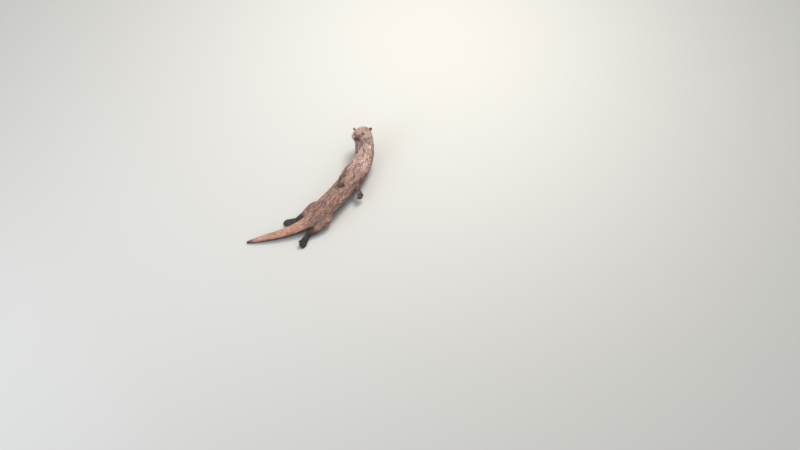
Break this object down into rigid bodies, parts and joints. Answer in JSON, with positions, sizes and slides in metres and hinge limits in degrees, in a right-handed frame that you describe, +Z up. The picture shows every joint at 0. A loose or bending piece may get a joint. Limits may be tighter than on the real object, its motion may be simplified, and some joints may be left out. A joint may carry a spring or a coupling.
{
  "type": "river otter",
  "caption": "Life-size river otter lying on its back, belly up, body curved to one side, head raised towards its chest.",
  "frame": {"origin": "centre of the bounding box's base, on the floor that the otter lies on", "axes": "+Z up, out of the belly; +Y roughly towards the head; +X towards the otter's left side"},
  "size_m": [0.727, 0.7334, 0.221],
  "materials": {
    "brown_fur": "wet fur in short locks, brown, darker on the back",
    "pale_fur": "wet fur in short locks, pale greyish brown",
    "dark_fur": "thin, short, nearly black fur over webbed toes",
    "nose_skin": "bare, pebbled, wet black skin",
    "eye": "wet, dark brown"
  },
  "bodies": {
    "root": {"head": "pale_fur", "nose": "nose_skin", "ear_left": "pale_fur", "ear_right": "pale_fur", "eye_left": "eye", "eye_right": "eye", "neck": "pale_fur", "trunk": "brown_fur", "tail": "brown_fur", "fore_leg_left": "brown_fur", "fore_paw_left": "dark_fur", "fore_leg_right": "brown_fur", "fore_paw_right": "dark_fur", "hind_leg_left": "brown_fur", "hind_paw_left": "dark_fur", "hind_leg_right": "brown_fur", "hind_paw_right": "dark_fur"}
  },
  "joints": []
}
